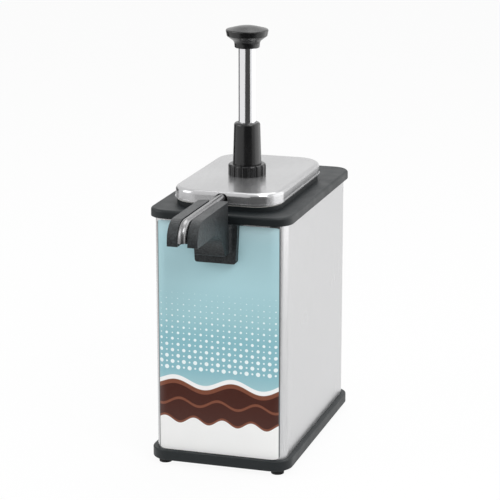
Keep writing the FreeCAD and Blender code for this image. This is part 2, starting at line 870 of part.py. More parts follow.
def make_vessel():
    body = new_body("vessel", (ZERO, lid_axis_y, ZERO))
    block = pad(body, plan(body, well_bottom, well_half_x, well_half_y, d.well_corner_radius),
                lid_bottom - well_bottom)
    curve = dress(body, "Fillet", block, level_edges(block.Shape, well_bottom), "Radius",
                  d.well_bottom_radius)
    dress(body, "Thickness", curve, face_at(curve.Shape, lid_bottom), "Value", d.vessel_sheet,
          Reversed=True, Join="Intersection")
    flange = plan(body, flange_bottom, rim_half_x, rim_half_y, rim_radius)
    rectangle(flange, d.vessel_sheet - well_half_x, well_half_x - d.vessel_sheet,
              d.vessel_sheet - well_half_y, well_half_y - d.vessel_sheet,
              d.well_corner_radius - d.vessel_sheet)
    pad(body, flange, d.vessel_flange)


def make_vessel_gasket():
    body = new_body("vessel_gasket", (ZERO, lid_axis_y, ZERO))
    ring = plan(body, collar_top, rim_half_x, rim_half_y, rim_radius)
    rectangle(ring, -mouth_half_x, mouth_half_x, -mouth_half_y, mouth_half_y, mouth_radius)
    pad(body, ring, d.vessel_gasket)


def make_band_heater():
    body = new_body("band_heater", (ZERO, lid_axis_y, ZERO))
    inner = d.band_clearance
    outer = d.band_clearance + d.band_thickness
    ring = plan(body, well_bottom + d.band_rise, well_half_x + outer, well_half_y + outer,
                d.well_corner_radius + outer)
    rectangle(ring, -well_half_x - inner, well_half_x + inner, -well_half_y - inner, well_half_y + inner,
              d.well_corner_radius + inner)
    pad(body, ring, d.band_height)


bracket_top = well_bottom - d.sensor_height


def make_sensors():
    """A thermostat and a cut-out press against the well's bottom, held by a strap on two studs."""
    for label, side in (("thermostat", d.sensor_spacing / 2), ("thermal_cutout", -d.sensor_spacing / 2)):
        body = new_body(label, (ZERO, lid_axis_y + side, ZERO))
        revolve(body, [(ZERO, bracket_top), (d.sensor_radius, bracket_top),
                       (d.sensor_radius, well_bottom - d.sensor_cap_height),
                       (d.sensor_cap_radius, well_bottom - d.sensor_cap_height),
                       (d.sensor_cap_radius, well_bottom), (ZERO, well_bottom)])
    body = new_body("sensor_bracket", (ZERO, lid_axis_y, ZERO))
    pad(body, plan(body, bracket_top - d.bracket_sheet, d.bracket_width / 2, d.bracket_length / 2,
                   d.bracket_corner_radius), d.bracket_sheet)
    sketch = new_sketch(body, "XY", bracket_top)
    for y in (-d.stud_spacing / 2, d.stud_spacing / 2):
        circle(sketch, d.stud_radius + d.stud_clearance, ZERO, y)
    pocket(body, sketch, d.bracket_sheet + d.overrun)
    studs = []
    nuts = []
    nut_bottom = bracket_top - d.bracket_sheet - d.nut_height
    for i, side in enumerate((-d.stud_spacing / 2, d.stud_spacing / 2), 1):
        y = side - lid_forward
        studs.append(primitive("Cylinder", "stud_%d" % i, (ZERO, y, well_bottom - d.stud_length),
                               Radius=d.stud_radius, Height=d.stud_length))
        outer = primitive("Prism", "stud_nut_%d_hexagon" % i, (ZERO, y, nut_bottom),
                          Circumradius=d.nut_radius, Height=d.nut_height)
        hole = primitive("Cylinder", "stud_nut_%d_hole" % i, (ZERO, y, nut_bottom - d.overrun),
                         Radius=d.stud_radius, Height=d.nut_height + d.overrun * 2)
        nuts.append(join("Cut", "stud_nut_%d" % i, outer, hole))
    group("sensor_studs", studs)
    group("sensor_nuts", nuts)


# Spout housing

chin_y = front_face - d.chin_reach
chin_bottom = lip_bottom - d.chin_drop
hollow_y = chin_y - d.chin_lean
plate_front = film_face - d.plate_depth
plate_bottom = lip_bottom - d.plate_height
nose_top = lip_bottom + d.nose_rise
nose_back = front_face - d.cover_overhang - d.nose_gap
groove_floor = discharge_level - d.discharge_radius - d.groove_clearance
groove_bend = d.discharge_tip_bend - d.discharge_radius - d.groove_clearance
groove_back = tip_y + d.discharge_radius + d.groove_clearance
cavity_top = groove_floor - d.housing_wall
cavity_floor = lip_bottom + d.housing_wall


def make_spout_housing():
    body = new_body("spout_housing")
    half_top = d.plate_top_width / 2
    half_bottom = d.plate_bottom_width / 2
    sketch = new_sketch(body, "XZ", -film_face)
    outline(sketch, [(-half_bottom, plate_bottom, d.plate_corner_radius),
                     (half_bottom, plate_bottom, d.plate_corner_radius),
                     (half_top, lip_bottom), (-half_top, lip_bottom)])
    pad(body, sketch, d.plate_depth)
    side = outline(new_sketch(body, "YZ"), [
        (film_face, chin_bottom),
        (chin_y, chin_bottom, d.chin_radius),
        (hollow_y, lip_bottom, d.nose_hollow_radius),
        (nose_front, lip_bottom, d.nose_edge_radius),
        (nose_front, nose_top, d.nose_front_radius),
        (nose_back, nose_top),
        (nose_back, lip_bottom),
        (film_face, lip_bottom),
    ])
    pad(body, side, d.nose_width, both_ways=True)
    round_housing_edges(body)
    blend_plate(body)
    groove_side = outline(new_sketch(body, "YZ"), [
        (nose_back + d.overrun, groove_floor),
        (groove_back, groove_floor, groove_bend),
        (groove_back, lip_bottom - d.overrun),
        (nose_front - d.overrun, lip_bottom - d.overrun),
        (nose_front - d.overrun, nose_top + d.overrun),
        (nose_back + d.overrun, nose_top + d.overrun),
    ])
    pocket(body, groove_side, d.groove_width, both_ways=True)
    notch = rectangle(new_sketch(body, "YZ"), groove_back - d.overrun, nose_front + d.groove_notch_length,
                      lip_bottom - d.overrun, lip_bottom + d.groove_notch_rise)
    pocket(body, notch, d.groove_width, both_ways=True)
    hollow_housing(body)


def blend_plate(body):
    """Fills the corners between the plate and the nose's sides with a hollow curve."""
    half_nose = d.nose_width / 2
    reach = d.plate_blend_radius + d.overrun
    blend_x = half_nose + reach
    blend_y = plate_front - reach
    back = plate_front + d.overrun
    sketch = outline(new_sketch(body, "XY", chin_bottom), [
        (-blend_x, back), (-blend_x, plate_front),
        (-half_nose, plate_front, d.plate_blend_radius), (-half_nose, blend_y),
        (half_nose, blend_y), (half_nose, plate_front, d.plate_blend_radius),
        (blend_x, plate_front), (blend_x, back),
    ])
    pad(body, sketch, d.chin_drop)


def round_housing_edges(body):
    """Rounds the upright back corners of the arms."""
    shape = body.Tip.Shape
    half_nose = d.nose_width.value / 2

    def back_corner(box):
        upright = box.XLength < SAME_LEVEL and box.YLength < SAME_LEVEL
        at_side = abs(abs(box.XMin) - half_nose) < SAME_LEVEL
        at_back = abs(box.YMin - nose_back.value) < SAME_LEVEL
        return upright and at_side and at_back and box.ZMin > lip_bottom.value - SAME_LEVEL

    dress(body, "Fillet", body.Tip, edges_where(shape, back_corner), "Radius", d.nose_back_radius)


def hollow_housing(body):
    """Opens the housing from behind, for the heater block and its leads, and leaves four screw bosses."""
    plate_inner = plate_front + d.housing_wall
    shaft_floor = chin_bottom + d.housing_wall
    shaft_back = nose_back - d.housing_wall
    heater_front = groove_back + d.groove_notch_length
    tunnel = outline(new_sketch(body, "YZ"), [
        (film_face + d.overrun, shaft_floor),
        (chin_y + d.housing_wall, shaft_floor),
        (hollow_y + d.housing_wall, cavity_floor, d.nose_hollow_radius),
        (heater_front, cavity_floor),
        (heater_front, cavity_top),
        (shaft_back, cavity_top),
        (shaft_back, lip_bottom - d.housing_wall),
        (film_face + d.overrun, lip_bottom - d.housing_wall),
    ])
    pocket(body, tunnel, d.nose_width - d.housing_wall * 2, both_ways=True)
    half_back = d.plate_bottom_width / 2 - d.housing_wall
    sketch = new_sketch(body, "XZ", -film_face - d.overrun)
    rectangle(sketch, -half_back, half_back, plate_bottom + d.housing_wall, lip_bottom - d.housing_wall)
    depth = film_face - plate_inner + d.overrun
    pocket(body, sketch, depth, reverse=True)
    sketch = new_sketch(body, "XZ", -film_face)
    for x, z in housing_screw_places:
        circle(sketch, d.housing_boss_radius, x, z)
    pad(body, sketch, film_face - plate_inner + d.housing_wall / 2)
    sketch = new_sketch(body, "XZ", -film_face)
    for x, z in housing_screw_places:
        circle(sketch, d.screw_radius, x, z)
    pocket(body, sketch, film_face - plate_inner, reverse=True)


def make_spout_fittings():
    body = new_body("spout_heater")
    back = chin_y - d.heater_block_gap
    block = rectangle(new_sketch(body, "YZ"), back - d.heater_block_length, back,
                      cavity_top - d.heater_block_height, cavity_top)
    pad(body, block, d.heater_block_width, both_ways=True)
    head_y = front_face + d.body_sheet + d.screw_head_height
    bite = d.plate_depth - d.housing_wall - d.screw_tip_gap
    grip = d.screw_head_height + d.body_sheet + d.film_thickness + bite
    screws("spout_screws", [(x, head_y, z) for x, z in housing_screw_places], TO_FRONT, grip)


# Electrical pieces

rocker_pivot_y = panel_face + d.bezel_thickness - d.rocker_pivot_depth


def make_switch():
    body = new_body("switch_housing", (switch_x, origin_y, inlet_level))
    bezel = rectangle(new_sketch(body, "XZ", -panel_face), -d.bezel_width / 2, d.bezel_width / 2,
                      -d.bezel_height / 2, d.bezel_height / 2, d.bezel_thickness)
    pad(body, bezel, d.bezel_thickness, reverse=True)
    case = rectangle(new_sketch(body, "XZ", -panel_face), -d.switch_width / 2, d.switch_width / 2,
                     -d.switch_height / 2, d.switch_height / 2)
    pad(body, case, d.switch_depth)
    sketch = new_sketch(body, "XZ", d.switch_depth - panel_face)
    for z in (-d.tab_spacing / 2, d.tab_spacing / 2):
        rectangle(sketch, -d.tab_width / 2, d.tab_width / 2, z - d.tab_thickness / 2, z + d.tab_thickness / 2)
    pad(body, sketch, d.tab_length)
    half_x = d.rocker_width / 2 + d.rocker_clearance
    half_z = d.rocker_half_height + d.rocker_clearance * 2
    face = -panel_face - d.bezel_thickness
    cavity = rectangle(new_sketch(body, "XZ", face), -half_x, half_x, -half_z, half_z)
    pocket(body, cavity, d.rocker_pivot_depth + d.rocker_back + d.rocker_clearance * 2, reverse=True)
    pins = circle(new_sketch(body, "YZ"), d.rocker_pin_radius + d.rocker_pin_clearance, rocker_pivot_y, ZERO)
    pocket(body, pins, (half_x + d.rocker_pin_length) * 2, both_ways=True)

    tilt = FreeCAD.Rotation(FreeCAD.Vector(1, 0, 0), ROCKER_TILT_DEGREES)
    body = new_body("switch_rocker", (switch_x, origin_y + rocker_pivot_y, inlet_level), tilt)
    low = d.rocker_valley - d.rocker_rise
    profile = outline(new_sketch(body, "YZ"), [
        (d.rocker_valley, ZERO),
        (d.rocker_rise, d.rocker_half_height, d.rocker_edge_radius),
        (low, d.rocker_half_height),
        (-d.rocker_back, d.rocker_back_half_height),
        (-d.rocker_back, -d.rocker_back_half_height),
        (low, -d.rocker_half_height),
        (d.rocker_rise, -d.rocker_half_height, d.rocker_edge_radius),
    ])
    pad(body, profile, d.rocker_width, both_ways=True)
    pin = circle(new_sketch(body, "YZ"), d.rocker_pin_radius)
    pad(body, pin, d.rocker_width + (d.rocker_clearance + d.rocker_pin_length) * 2, both_ways=True)


def make_cord_inlet():
    """A bushing through the rear panel, turned about Z and laid along Y."""
    places = (-switch_x, origin_y + panel_face, inlet_level)
    body = new_body("cord_gland", places, TO_BACK)
    revolve(body, [(d.gland_bore_radius, -d.gland_length), (d.gland_neck_radius, -d.gland_length),
                   (d.gland_neck_radius, ZERO), (d.gland_flange_radius, ZERO),
                   (d.gland_flange_radius, d.gland_flange), (d.gland_bore_radius, d.gland_flange)])
    body = new_body("gland_nut", places, TO_BACK)
    top = -d.panel_sheet
    inner = d.gland_neck_radius + d.gland_clearance
    revolve(body, [(inner, top - d.gland_nut_height), (d.gland_nut_radius, top - d.gland_nut_height),
                   (d.gland_nut_radius, top), (inner, top)])


def make_terminal_block():
    body = new_body("terminal_block", (ZERO, origin_y + d.block_back, ZERO))
    pad(body, plan(body, block_bottom, d.block_length / 2, d.block_width / 2), d.block_height)
    top = block_bottom + d.block_height
    sketch = new_sketch(body, "XY", top)
    half_well = d.block_well_width / 2
    first = -d.block_well_pitch * (BLOCK_WELL_COUNT - 1) / 2
    for i in range(BLOCK_WELL_COUNT):
        x = first + d.block_well_pitch * i
        rectangle(sketch, x - half_well, x + half_well, half_well, d.block_width / 2 + d.overrun)
        rectangle(sketch, x - half_well, x + half_well, -d.block_width / 2 - d.overrun, -half_well)
    pocket(body, sketch, d.block_well_depth)
    sketch = new_sketch(body, "XY", top)
    for x in (-d.block_screw_spacing / 2, d.block_screw_spacing / 2):
        circle(sketch, d.screw_radius + d.screw_clearance, x, ZERO)
    pocket(body, sketch, d.block_height + d.overrun)
    grip = d.screw_head_height + d.block_height + d.block_boss_height
    places = [(x, y, top + d.screw_head_height) for x, y in block_screw_places]
    screws("terminal_screws", places, DOWN, grip)


# Lid and pump, about the pump's axis

# The notch's crown stays under the lid's rolled edge
notch_top = lid_top - d.lid_sheet * 2


def make_lid():
    body = new_body("lid", (ZERO, lid_axis_y, ZERO))
    block = pad(body, plan(body, lid_bottom, lid_half_x, lid_half_y, d.lid_corner_radius), d.lid_height)
    curve = dress(body, "Fillet", block, level_edges(block.Shape, lid_top), "Radius", d.lid_edge_radius)
    dress(body, "Thickness", curve, face_at(curve.Shape, lid_bottom), "Value", d.lid_sheet,
          Reversed=True, Join="Intersection")
    hem = plan(body, lid_bottom, lid_half_x + d.lid_hem, lid_half_y + d.lid_hem,
               d.lid_corner_radius + d.lid_hem)
    rectangle(hem, d.lid_seat - lid_half_x, lid_half_x - d.lid_seat, d.lid_seat - lid_half_y,
              lid_half_y - d.lid_seat, d.lid_corner_radius - d.lid_seat)
    pad(body, hem, d.lid_hem_height)
    sketch = circle(new_sketch(body, "XY", lid_top), d.cylinder_radius + d.neck_clearance, ZERO,
                    lid_forward - d.pump_forward)
    pocket(body, sketch, d.lid_sheet + d.overrun)
    sketch = outline(new_sketch(body, "XZ", lid_half_y + d.overrun), [
        (-d.lid_notch_radius, lid_bottom - d.overrun),
        (d.lid_notch_radius, lid_bottom - d.overrun),
        (d.lid_notch_radius, notch_top, d.lid_notch_corner),
        (-d.lid_notch_radius, notch_top, d.lid_notch_corner),
    ])
    pocket(body, sketch, d.lid_edge_radius + d.overrun)


def make_lid_gasket():
    body = new_body("lid_gasket", (ZERO, pump_axis_y, ZERO))
    top = cylinder_flange_top + d.lid_gasket
    inner = d.cylinder_radius + d.seat_gap
    revolve(body, [(inner, cylinder_flange_top), (d.cylinder_flange_radius, cylinder_flange_top),
                   (d.cylinder_flange_radius, top), (inner, top)])


def make_lock_nut():
    body = new_body("lock_nut", (ZERO, pump_axis_y, ZERO))
    top = lid_top + d.nut_full_height
    bore = d.cylinder_radius + d.seat_gap
    recess = d.sleeve_flange_radius + d.neck_clearance
    mouth = d.sleeve_bottom_radius + d.neck_clearance
    shoulder = neck_top + d.sleeve_flange + d.seat_gap
    revolve(body, [(bore, lid_top), (d.nut_outer_radius, lid_top),
                   (d.nut_outer_radius, top, d.nut_edge_radius), (mouth, top), (mouth, shoulder),
                   (recess, shoulder), (recess, neck_top - d.seat_gap), (bore, neck_top - d.seat_gap)])
    flute_x = d.nut_outer_radius + d.flute_radius - d.flute_depth
    sketch = circle(new_sketch(body, "XY", top + d.overrun), d.flute_radius, flute_x, ZERO)
    flute = pocket(body, sketch, d.nut_full_height + d.overrun * 2)
    pattern(body, "PolarPattern", flute, (sketch, ["N_Axis"]), FLUTE_COUNT)


def make_guide_sleeve():
    body = new_body("guide_sleeve", (ZERO, pump_axis_y, ZERO))
    bore = d.tube_radius + d.running_clearance
    spigot = d.cylinder_bore_radius - d.seat_gap
    shelf = neck_top + d.sleeve_flange
    revolve(body, [(bore, neck_top - d.sleeve_spigot), (spigot, neck_top - d.sleeve_spigot),
                   (spigot, neck_top), (d.sleeve_flange_radius, neck_top), (d.sleeve_flange_radius, shelf),
                   (d.sleeve_bottom_radius, shelf), (d.sleeve_top_radius, sleeve_top, d.sleeve_crown_radius),
                   (bore, sleeve_top, d.sleeve_mouth_radius)])


def make_pump_cylinder():
    body = new_body("pump_cylinder", (ZERO, pump_axis_y, ZERO))
    low = valve_floor + d.valve_seal
    flange = cylinder_flange_top - d.cylinder_flange
    revolve(body, [(d.cylinder_bore_radius, low), (d.cylinder_radius, low), (d.cylinder_radius, flange),
                   (d.cylinder_flange_radius, flange), (d.cylinder_flange_radius, cylinder_flange_top),
                   (d.cylinder_radius, cylinder_flange_top), (d.cylinder_radius, neck_top),
                   (d.cylinder_bore_radius, neck_top)])


def seat_height(ball_radius, bore_radius):
    """How far a resting ball's centre lies above the lower edge of its seat's cone."""
    return (ball_radius - bore_radius * SEAT_RISE_SHARE) / SEAT_RUN_SHARE + d.seat_gap


def cone_height(low_radius, high_radius):
    return (high_radius - low_radius) * (SEAT_RISE_SHARE / SEAT_RUN_SHARE)


inlet_seat = inlet_ball_level - seat_height(d.inlet_ball_radius, d.inlet_bore_radius)
valve_bottom = inlet_seat - d.inlet_web - d.intake_socket
passage_level = inlet_ball_level
outlet_seat = passage_level + d.passage_radius + d.outlet_web
outlet_ball_level = outlet_seat + seat_height(d.outlet_ball_radius, d.outlet_bore_radius)
riser_bottom = outlet_ball_level + d.outlet_ball_radius + d.ball_lift
lobe_bottom = passage_level - d.passage_radius - d.lobe_wall
lobe_top = riser_bottom + d.outlet_socket


def make_valve_body():
    body = new_body("valve_body", (ZERO, pump_axis_y, ZERO))
    revolve(body, [(ZERO, valve_bottom), (d.valve_radius, valve_bottom, d.valve_edge_radius),
                   (d.valve_radius, valve_top, d.valve_edge_radius), (ZERO, valve_top)])
    lobe = circle(new_sketch(body, "XY", lobe_bottom), d.lobe_radius, ZERO, -d.riser_forward)
    pad(body, lobe, lobe_top - lobe_bottom)
    web = rectangle(new_sketch(body, "XY", lobe_bottom), -d.chamber_radius, d.chamber_radius,
                    -d.riser_forward, ZERO)
    pad(body, web, valve_floor - lobe_bottom)
    intake = d.intake_radius + d.seat_gap
    socket = d.cylinder_radius + d.seat_gap
    cone_top = inlet_seat + cone_height(d.inlet_bore_radius, d.chamber_radius)
    groove(body, [(ZERO, valve_bottom - d.overrun), (intake, valve_bottom - d.overrun),
                  (intake, valve_bottom + d.intake_socket),
                  (d.inlet_bore_radius, valve_bottom + d.intake_socket), (d.inlet_bore_radius, inlet_seat),
                  (d.chamber_radius, cone_top), (d.chamber_radius, valve_floor), (socket, valve_floor),
                  (socket, valve_top + d.overrun), (ZERO, valve_top + d.overrun)])
    chamber = d.outlet_chamber_radius
    riser = d.discharge_radius + d.seat_gap
    cone_top = outlet_seat + cone_height(d.outlet_bore_radius, chamber)
    groove(body, [(ZERO, passage_level), (d.outlet_bore_radius, passage_level),
                  (d.outlet_bore_radius, outlet_seat), (chamber, cone_top), (chamber, riser_bottom),
                  (riser, riser_bottom), (riser, lobe_top + d.overrun), (ZERO, lobe_top + d.overrun)],
           level=d.riser_forward)
    sketch = circle(new_sketch(body, "XZ", d.riser_forward), d.passage_radius, ZERO, passage_level)
    pocket(body, sketch, d.riser_forward)


def make_valve_pieces():
    body = new_body("valve_seal", (ZERO, pump_axis_y, ZERO))
    top = valve_floor + d.valve_seal
    revolve(body, [(d.cylinder_bore_radius, valve_floor), (d.cylinder_radius, valve_floor),
                   (d.cylinder_radius, top), (d.cylinder_bore_radius, top)])
    body = new_body("valve_cage", (ZERO, pump_axis_y, ZERO))
    disc = circle(new_sketch(body, "XY", valve_floor), d.cylinder_bore_radius - d.neck_clearance)
    pad(body, disc, d.cage_thickness)
    sketch = circle(new_sketch(body, "XY", cage_top + d.overrun), d.cage_hole_radius, d.cage_hole_circle)
    hole = pocket(body, sketch, d.cage_thickness + d.overrun * 2)
    pattern(body, "PolarPattern", hole, (sketch, ["N_Axis"]), CAGE_HOLE_COUNT)
    body = new_body("intake_tube", (ZERO, pump_axis_y, ZERO))
    low = well_bottom + d.vessel_sheet + d.intake_floor_gap
    high = valve_bottom + d.intake_socket
    inner = d.intake_radius - d.intake_wall
    revolve(body, [(inner, low), (d.intake_radius, low), (d.intake_radius, high), (inner, high)])
    primitive_ball("inlet_ball", d.inlet_ball_radius, pump_axis_y, inlet_ball_level)
    primitive_ball("outlet_ball", d.outlet_ball_radius, origin_y + riser_y, outlet_ball_level)


def primitive_ball(label, radius, y, level):
    ball = primitive("Sphere", label, (ZERO, y, level), Radius=radius)
    ball.Label = label


def make_discharge_tube():
    body = new_body("discharge_tube")
    path = outline(new_sketch(body, "YZ"), [
        (riser_y, riser_bottom),
        (riser_y, discharge_level, d.discharge_riser_bend),
        (tip_y, discharge_level, d.discharge_tip_bend),
        (tip_y, tip_level),
    ], closed=False)
    ring = circle(new_sketch(body, "XY", riser_bottom), d.discharge_radius, ZERO, riser_y)
    circle(ring, d.discharge_radius - d.discharge_wall, ZERO, riser_y)
    made, before = feature(body, "AdditivePipe", ring)
    doc.recompute()
    made.Spine = (path, ["Edge%d" % (i + 1) for i in range(len(path.Shape.Edges))])
    settle(body, made, before, cuts=False)
    body = new_body("discharge_nut", (ZERO, origin_y + riser_y, ZERO))
    inner = d.discharge_radius + d.seat_gap
    top = lobe_top + d.discharge_nut_height
    revolve(body, [(inner, lobe_top), (d.discharge_nut_radius, lobe_top),
                   (d.discharge_nut_radius, top, d.discharge_nut_edge), (inner, top)])


# Plunger, about the pump's axis

def make_knob():
    body = new_body("knob", (ZERO, pump_axis_y, ZERO))
    neck_top_level = knob_bottom + d.knob_neck_height
    rim_bottom = neck_top_level + d.knob_flare_height
    rim_top = rim_bottom + d.knob_rim_height
    socket = d.tube_radius + d.seat_gap / 2
    revolve(body, [
        (socket, knob_bottom),
        (d.knob_neck_radius, knob_bottom, d.knob_edge_radius),
        (d.knob_waist_radius, neck_top_level, d.knob_flare_height),
        (d.knob_rim_bottom_radius, rim_bottom, d.knob_rim_edge_radius),
        (d.knob_radius, rim_top, d.knob_rim_edge_radius),
        (d.knob_flat_radius, rim_top + d.knob_crown, d.knob_crown_radius),
        (ZERO, rim_top + d.knob_crown),
        (ZERO, knob_bottom + d.knob_socket),
        (socket, knob_bottom + d.knob_socket),
    ])


def make_plunger_pieces():
    body = new_body("plunger_tube", (ZERO, pump_axis_y, ZERO))
    top = knob_bottom + d.knob_socket
    inner = d.tube_radius - d.tube_wall
    revolve(body, [(inner, piston_top), (d.tube_radius, piston_top), (d.tube_radius, top), (inner, top)])
    body = new_body("piston", (ZERO, pump_axis_y, ZERO))
    rim = d.cylinder_bore_radius - d.running_clearance
    groove_low = piston_bottom + (d.piston_length - d.seal_height) / 2
    groove_high = groove_low + d.seal_height
    spigot = inner - d.seat_gap / 2
    revolve(body, [(ZERO, piston_bottom), (rim, piston_bottom), (rim, groove_low),
                   (rim - d.seal_depth, groove_low), (rim - d.seal_depth, groove_high), (rim, groove_high),
                   (rim, piston_top), (spigot, piston_top), (spigot, piston_top + d.piston_spigot),
                   (ZERO, piston_top + d.piston_spigot)])
    body = new_body("piston_seal", (ZERO, pump_axis_y, ZERO))
    outer = d.cylinder_bore_radius - d.running_clearance / 2
    revolve(body, [(rim - d.seal_depth, groove_low), (outer, groove_low), (outer, groove_high),
                   (rim - d.seal_depth, groove_high)])


def make_return_spring():
    body = new_body("return_spring", (ZERO, pump_axis_y, ZERO))
    wire = d.spring_wire_radius
    low = cage_top + wire + d.seat_gap
    high = piston_bottom - wire - d.seat_gap
    half_side = math.pi / WIRE_SIDES
    corner_radius = wire / math.cos(half_side)
    turns = [half_side * (i * 2 + 1) for i in range(WIRE_SIDES)]
    sketch = outline(new_sketch(body, "XZ"), [
        (d.spring_mean_radius + corner_radius * math.cos(turn), low + corner_radius * math.sin(turn))
        for turn in turns])
    made, before = feature(body, "AdditiveHelix", sketch)
    made.ReferenceAxis = (sketch, ["V_Axis"])
    made.Mode = "height-turns-angle"
    made.Turns = SPRING_TURNS
    made.setExpression("Height", (high - low).text)
    settle(body, made, before, cuts=False)


def bad_objects():
    """Names each object that failed, and each node whose shape is empty or not valid."""
    found = [o.Label for o in doc.Objects if "Invalid" in o.State or "Error" in o.State]
    for node in nodes():
        if node.Shape.isNull() or not node.Shape.isValid() or not node.Shape.Solids:
            found.append(node.Label + " shape")
    return found


def nodes():
    kinds = ("PartDesign::Body", "Part::Compound", "Part::Sphere")
    return [o for o in doc.Objects if o.TypeId in kinds]


def main():
    for make in (make_base_tray, make_feet, make_body_shroud, make_rear_panel, make_front_graphic,
                 make_top_cover, make_vessel, make_vessel_gasket, make_band_heater, make_sensors,
                 make_spout_housing, make_spout_fittings, make_switch, make_cord_inlet,
                 make_terminal_block, make_lid, make_lid_gasket, make_lock_nut, make_guide_sleeve,
                 make_pump_cylinder, make_valve_body, make_valve_pieces, make_discharge_tube, make_knob,
                 make_plunger_pieces, make_return_spring):
        make()
    doc.recompute()
    failed = bad_objects()
    if failed:
        raise RuntimeError("failed: " + ", ".join(failed))
    os.makedirs("parts", exist_ok=True)
    for node in nodes():
        node.Shape.exportStep("parts/%s.step" % node.Label)
        box = node.Shape.BoundBox
        print("%-18s %d solid, %9.1f mm3, z %.1f to %.1f" % (
            node.Label, len(node.Shape.Solids), node.Shape.Volume, box.ZMin, box.ZMax))


main()
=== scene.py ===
import math

import bpy
from mathutils import Matrix, Vector


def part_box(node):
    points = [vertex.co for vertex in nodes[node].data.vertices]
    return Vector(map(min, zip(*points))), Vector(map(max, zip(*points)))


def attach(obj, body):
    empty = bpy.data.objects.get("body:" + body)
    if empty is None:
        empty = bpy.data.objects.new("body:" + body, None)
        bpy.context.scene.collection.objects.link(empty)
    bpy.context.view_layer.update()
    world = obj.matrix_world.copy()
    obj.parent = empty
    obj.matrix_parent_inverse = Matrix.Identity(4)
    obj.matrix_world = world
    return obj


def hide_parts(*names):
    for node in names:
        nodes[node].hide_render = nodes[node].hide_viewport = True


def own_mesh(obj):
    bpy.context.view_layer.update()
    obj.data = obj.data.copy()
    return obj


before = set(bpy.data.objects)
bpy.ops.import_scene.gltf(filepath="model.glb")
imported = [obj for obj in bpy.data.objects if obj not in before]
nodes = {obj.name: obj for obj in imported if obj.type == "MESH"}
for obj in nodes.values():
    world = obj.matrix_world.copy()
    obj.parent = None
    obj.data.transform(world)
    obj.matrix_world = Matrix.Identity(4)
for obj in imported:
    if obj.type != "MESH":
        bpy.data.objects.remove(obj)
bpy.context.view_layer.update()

MM = 0.001
WHITE = (1, 1, 1, 1)

NOISE_LOW, NOISE_HIGH = 0.3, 0.7  # most of a noise texture's values lie between these

FILM_DOTS_BOTTOM = 92 * MM  # over the film's lower edge
FILM_DOTS_HEIGHT = 105 * MM
FILM_DOT_PITCH = 13 * MM
# width of the painted shade line along the film's back edges
FILM_EDGE_SHADE_WIDTH = 0.9 * MM

SPRING_WIRE = 0.8 * MM  # radius
SPRING_TURNS = 8
PLUNGER_TRAVEL = 80 * MM

# The camera was solved from the straight edges of the body, tray and lid in the photo
CAMERA_PLACE = (0.657836, -2.076065, 0.803736)
CAMERA_YAW, CAMERA_PITCH = 17.228, 14.728  # degrees
CAMERA_SENSOR, CAMERA_LENS = 36.0, 147.11  # millimetres

FLOOR_SIZE = 12.0
WORLD_STRENGTH = 0.5  # of the light that reaches the object
CARD_GAP = 0.001  # between the floor and a standing card's lower edge


class Graph:
    """The node tree of one material, with short ways to add what the materials share."""

    def __init__(self, tree):
        self.tree = tree
        self.shader = tree.nodes.get("Principled BSDF")
        self.place = None

    def node(self, kind, inputs=(), **settings):
        made = self.tree.nodes.new("ShaderNode" + kind)
        for name, value in settings.items():
            setattr(made, name, value)
        for name, value in dict(inputs).items():
            self.feed(made.inputs[name], value)
        return made

    def feed(self, socket, value):
        if isinstance(value, bpy.types.NodeSocket):
            self.tree.links.new(value, socket)
        else:
            socket.default_value = value

    def calc(self, operation, *values, clamp=False):
        made = self.node("Math", operation=operation, use_clamp=clamp)
        for socket, value in zip(made.inputs, values):
            self.feed(socket, value)
        return made.outputs[0]

    def blend(self, factor, low, high):
        made = self.node("Mix", data_type="RGBA")
        self.feed(made.inputs[0], factor)
        self.feed(made.inputs[6], low)
        self.feed(made.inputs[7], high)
        return made.outputs[2]

    def ramp(self, factor, stops):
        made = self.node("ValToRGB", {"Fac": factor})
        while len(made.color_ramp.elements) < len(stops):
            made.color_ramp.elements.new(0.5)  # anywhere, since the next lines place it
        for element, (position, colour) in zip(made.color_ramp.elements, stops):
            element.position = position
            element.color = colour
        return made.outputs[0]

    def spread(self, factor, low, high):
        """Moves a value from the noise's middle range to the range from low to high."""
        made = self.node("MapRange", {"Value": factor, "From Min": NOISE_LOW, "From Max": NOISE_HIGH,
                                      "To Min": low, "To Max": high})
        return made.outputs[0]

    def coordinates(self, stretch=(1.0, 1.0, 1.0)):
        if self.place is None:
            self.place = self.node("TexCoord").outputs["Object"]
        if stretch == (1.0, 1.0, 1.0):
            return self.place
        return self.node("Mapping", {"Vector": self.place, "Scale": stretch}).outputs[0]

    def noise(self, grain, detail=2.0, stretch=(1.0, 1.0, 1.0)):
        """Noise whose features are about grain metres across."""
        made = self.node("TexNoise", {"Vector": self.coordinates(stretch), "Scale": 1 / grain,
                                      "Detail": detail})
        return made.outputs[0]

    def bump(self, height, depth):
        """Raises the surface by up to depth metres."""
        return self.node("Bump", {"Height": height, "Distance": depth}).outputs[0]

    def set(self, **values):
        for name, value in values.items():
            self.feed(self.shader.inputs[name.replace("_", " ")], value)


def srgb(red, green, blue):
    """The linear colour of an 8-bit display colour."""
    def linear(value):
        share = value / 255
        return share / 12.92 if share <= 0.04045 else ((share + 0.055) / 1.055) ** 2.4
    return (linear(red), linear(green), linear(blue), 1.0)


def new_material(name):
    made = bpy.data.materials.new(name)
    made.use_nodes = True
    return made, Graph(made.node_tree)


# Materials

